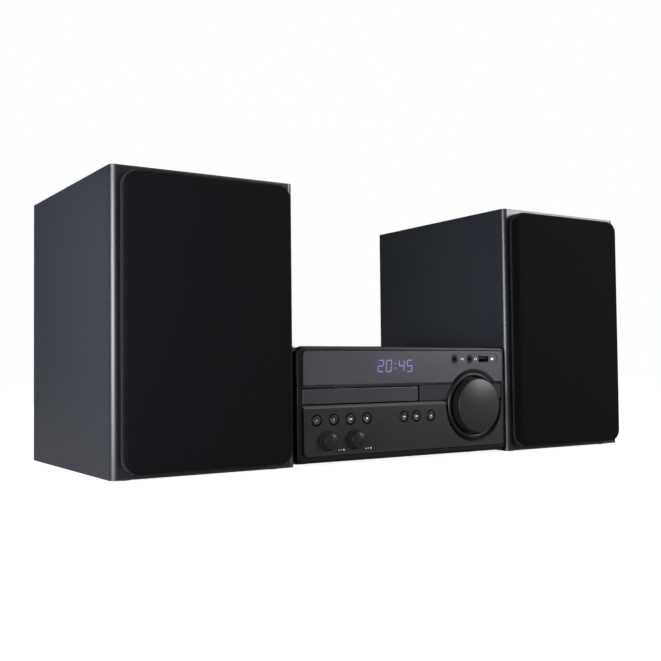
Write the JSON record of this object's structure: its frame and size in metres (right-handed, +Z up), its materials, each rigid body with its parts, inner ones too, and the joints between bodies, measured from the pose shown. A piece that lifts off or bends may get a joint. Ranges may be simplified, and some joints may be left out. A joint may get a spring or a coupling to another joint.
{
  "type": "mini hifi system",
  "caption": "Compact disc receiver with a large volume knob and sliding disc tray, between two bookshelf speakers with pull-off cloth grilles.",
  "frame": {"origin": "centre of the whole set's footprint, on the shelf it stands on", "axes": "-Y out of the fronts, +X to the viewer's right along the row of units, +Z up"},
  "size_m": [0.59, 0.2566, 0.253],
  "materials": {
    "case_metal": "dark grey textured paint",
    "zinc_steel": "plain zinc-plated sheet",
    "screw_steel": "blackened steel",
    "foot_rubber": "matt",
    "bezel_plastic": "satin dark grey",
    "window_plastic": "smoked, satin gloss",
    "panel_plastic": "satin dark grey",
    "display_glass": "dark display glass",
    "ring_metal": "dark satin anodised",
    "knob_plastic": "satin gloss dark grey",
    "small_knob_plastic": "gloss black",
    "button_plastic": "satin black with pale marks",
    "board_laminate": "green circuit board with its parts",
    "socket_plastic": "black with metal contacts",
    "drive_plastic": "black",
    "tray_plastic": "black satin",
    "gear_plastic": "off-white",
    "motor_steel": "plated",
    "socket_metal": "nickel plated",
    "cabinet_vinyl": "fibreboard in blue-black grained wrap",
    "baffle_lacquer": "fibreboard in gloss black lacquer",
    "grille_plastic": "black",
    "grille_cloth": "black knitted cloth",
    "basket_steel": "black stamped steel",
    "magnet_ferrite": "ferrite with steel plates",
    "cone_paper": "coated paper",
    "surround_rubber": "soft black rubber",
    "tweeter_parts": "black plate, soft dome",
    "port_plastic": "black",
    "pad_rubber": "soft"
  },
  "bodies": {
    "receiver": {"chassis_base": "zinc_steel", "top_cover": "case_metal", "rear_panel": "case_metal", "case_screws": "screw_steel", "feet": "foot_rubber", "front_bezel": "bezel_plastic", "display_window": "window_plastic", "control_panel": "panel_plastic", "display_module": "display_glass", "volume_ring": "ring_metal", "control_board": "board_laminate", "front_sockets": "socket_plastic", "main_board": "board_laminate", "power_supply": "board_laminate", "cd_frame": "drive_plastic", "loading_motor": "motor_steel", "mains_inlet": "socket_plastic", "antenna_socket": "socket_metal", "speaker_sockets": "socket_metal"},
    "volume_knob": {"volume_knob": "knob_plastic"},
    "bass_knob": {"bass_knob": "small_knob_plastic"},
    "treble_knob": {"treble_knob": "small_knob_plastic"},
    "power_button": {"power_button": "button_plastic"},
    "source_button": {"source_button": "button_plastic"},
    "play_button": {"play_button": "button_plastic"},
    "stop_button": {"stop_button": "button_plastic"},
    "previous_button": {"previous_button": "button_plastic"},
    "next_button": {"next_button": "button_plastic"},
    "eject_button": {"eject_button": "button_plastic"},
    "tray": {"cd_tray": "tray_plastic", "tray_door": "bezel_plastic"},
    "tray_gear": {"tray_gear": "gear_plastic"},
    "deck": {"cd_deck": "zinc_steel"},
    "turntable": {"turntable": "drive_plastic"},
    "sled": {"laser_sled": "drive_plastic"},
    "clamp": {"disc_clamp": "drive_plastic"},
    "left_speaker": {"left_cabinet": "cabinet_vinyl", "left_baffle": "baffle_lacquer", "left_woofer_basket": "basket_steel", "left_woofer_magnet": "magnet_ferrite", "left_woofer_surround": "surround_rubber", "left_tweeter": "tweeter_parts", "left_port_tube": "port_plastic", "left_input_plate": "port_plastic", "left_pads": "pad_rubber"},
    "left_grille": {"left_grille_frame": "grille_plastic", "left_grille_cloth": "grille_cloth"},
    "left_cone": {"left_woofer_cone": "cone_paper"},
    "right_speaker": {"right_cabinet": "cabinet_vinyl", "right_baffle": "baffle_lacquer", "right_woofer_basket": "basket_steel", "right_woofer_magnet": "magnet_ferrite", "right_woofer_surround": "surround_rubber", "right_tweeter": "tweeter_parts", "right_port_tube": "port_plastic", "right_input_plate": "port_plastic", "right_pads": "pad_rubber"},
    "right_grille": {"right_grille_frame": "grille_plastic", "right_grille_cloth": "grille_cloth"},
    "right_cone": {"right_woofer_cone": "cone_paper"}
  },
  "joints": [
    {"name": "volume_turn", "type": "hinge", "parent": "receiver", "child": "volume_knob", "pos_m": [0.0808, -0.1218, 0.0501], "axis": [0, -1, 0], "continuous": true},
    {"name": "bass_turn", "type": "hinge", "parent": "receiver", "child": "bass_knob", "pos_m": [-0.094, -0.1217, 0.0232], "axis": [0, -1, 0], "range_deg": [-150, 150]},
    {"name": "treble_turn", "type": "hinge", "parent": "receiver", "child": "treble_knob", "pos_m": [-0.064, -0.1217, 0.0232], "axis": [0, -1, 0], "range_deg": [-150, 150]},
    {"name": "power_press", "type": "slide", "parent": "receiver", "child": "power_button", "axis": [0, 1, 0], "range_m": [0, 0.0008], "stiffness_N_per_m": 1200},
    {"name": "source_press", "type": "slide", "parent": "receiver", "child": "source_button", "axis": [0, 1, 0], "range_m": [0, 0.0008], "stiffness_N_per_m": 1200},
    {"name": "play_press", "type": "slide", "parent": "receiver", "child": "play_button", "axis": [0, 1, 0], "range_m": [0, 0.0008], "stiffness_N_per_m": 1200},
    {"name": "stop_press", "type": "slide", "parent": "receiver", "child": "stop_button", "axis": [0, 1, 0], "range_m": [0, 0.0008], "stiffness_N_per_m": 1200},
    {"name": "previous_press", "type": "slide", "parent": "receiver", "child": "previous_button", "axis": [0, 1, 0], "range_m": [0, 0.0008], "stiffness_N_per_m": 1200},
    {"name": "next_press", "type": "slide", "parent": "receiver", "child": "next_button", "axis": [0, 1, 0], "range_m": [0, 0.0008], "stiffness_N_per_m": 1200},
    {"name": "eject_press", "type": "slide", "parent": "receiver", "child": "eject_button", "axis": [0, 1, 0], "range_m": [0, 0.0008], "stiffness_N_per_m": 1200},
    {"name": "tray_slide", "type": "slide", "parent": "receiver", "child": "tray", "axis": [0, -1, 0], "range_m": [0, 0.135]},
    {"name": "tray_gear_turn", "type": "hinge", "parent": "receiver", "child": "tray_gear", "pos_m": [0.026, -0.0857, 0.0562], "axis": [0, 0, 1], "range_deg": [0, 350]},
    {"name": "deck_tilt", "type": "hinge", "parent": "receiver", "child": "deck", "pos_m": [-0.0533, 0.0333, 0.0484], "axis": [1, 0, 0], "range_deg": [0, 4.5]},
    {"name": "turntable_spin", "type": "hinge", "parent": "deck", "child": "turntable", "pos_m": [-0.0533, -0.0442, 0.0619], "axis": [0, 0, 1], "continuous": true},
    {"name": "clamp_spin", "type": "hinge", "parent": "receiver", "child": "clamp", "pos_m": [-0.0533, -0.0442, 0.0718], "axis": [0, 0, 1], "continuous": true},
    {"name": "sled_slide", "type": "slide", "parent": "deck", "child": "sled", "axis": [0, 1, 0], "range_m": [0, 0.034]},
    {"name": "left_speaker_place", "type": "slide", "parent": "receiver", "child": "left_speaker", "axis": [-1, 0, 0], "range_m": [0, 0.3]},
    {"name": "left_grille_pull", "type": "slide", "parent": "left_speaker", "child": "left_grille", "axis": [0, -1, 0], "range_m": [0, 0.06]},
    {"name": "left_cone_stroke", "type": "slide", "parent": "left_speaker", "child": "left_cone", "axis": [0, -1, 0], "range_m": [-0.003, 0.003], "stiffness_N_per_m": 1500, "deforming": ["left_woofer_surround"]},
    {"name": "right_speaker_place", "type": "slide", "parent": "receiver", "child": "right_speaker", "axis": [1, 0, 0], "range_m": [0, 0.3]},
    {"name": "right_grille_pull", "type": "slide", "parent": "right_speaker", "child": "right_grille", "axis": [0, -1, 0], "range_m": [0, 0.06]},
    {"name": "right_cone_stroke", "type": "slide", "parent": "right_speaker", "child": "right_cone", "axis": [0, -1, 0], "range_m": [-0.003, 0.003], "stiffness_N_per_m": 1500, "deforming": ["right_woofer_surround"]}
  ],
  "couplings": [
    {"joint": "tray_gear_turn", "follows": "tray_slide", "rad_per_m": 44.444},
    {"joint": "clamp_spin", "follows": "turntable_spin", "ratio": 1}
  ]
}
